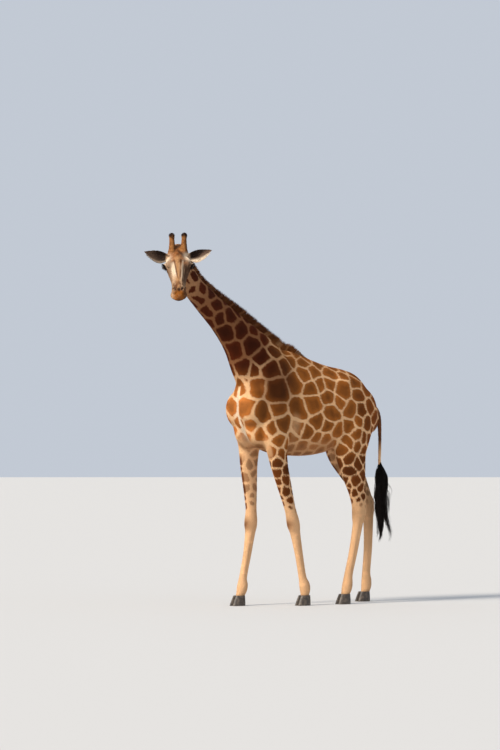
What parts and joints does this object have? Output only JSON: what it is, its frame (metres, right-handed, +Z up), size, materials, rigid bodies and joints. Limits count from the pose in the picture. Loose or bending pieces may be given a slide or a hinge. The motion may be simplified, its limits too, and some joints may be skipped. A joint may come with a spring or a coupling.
{
  "type": "giraffe, standing, life size",
  "caption": "Life-size standing giraffe with patchy coat, upright mane and black tail tuft, head turned to its left.",
  "frame": {"origin": "on the floor, under the middle of the animal's outline box", "axes": "-Y is the way the body faces, +X is the animal's left, +Z is up"},
  "size_m": [0.9686, 3.17, 3.7477],
  "materials": {
    "coat": "matte, short lying hair with brown patches and cream lines",
    "mane": "stiff upright brown hair",
    "tail_hair": "long coarse black hair",
    "hoof": "dull dark horn",
    "eye": "wet gloss, opaque and nearly black",
    "ossicone": "short brown hair with a dark knob"
  },
  "bodies": {
    "root": {"barrel": "coat", "chest": "coat", "ear_left": "coat", "ear_right": "coat", "eye_left": "eye", "eye_right": "eye", "foreleg_left_lower": "coat", "foreleg_left_upper": "coat", "foreleg_right_lower": "coat", "foreleg_right_upper": "coat", "head": "coat", "hindleg_left_lower": "coat", "hindleg_left_upper": "coat", "hindleg_right_lower": "coat", "hindleg_right_upper": "coat", "hoof_fore_left": "hoof", "hoof_fore_right": "hoof", "hoof_hind_left": "hoof", "hoof_hind_right": "hoof", "mane": "mane", "neck_lower": "coat", "neck_middle": "coat", "neck_upper": "coat", "ossicone_left": "ossicone", "ossicone_right": "ossicone", "rump": "coat", "tail": "coat", "tail_tuft": "tail_hair"}
  },
  "joints": []
}
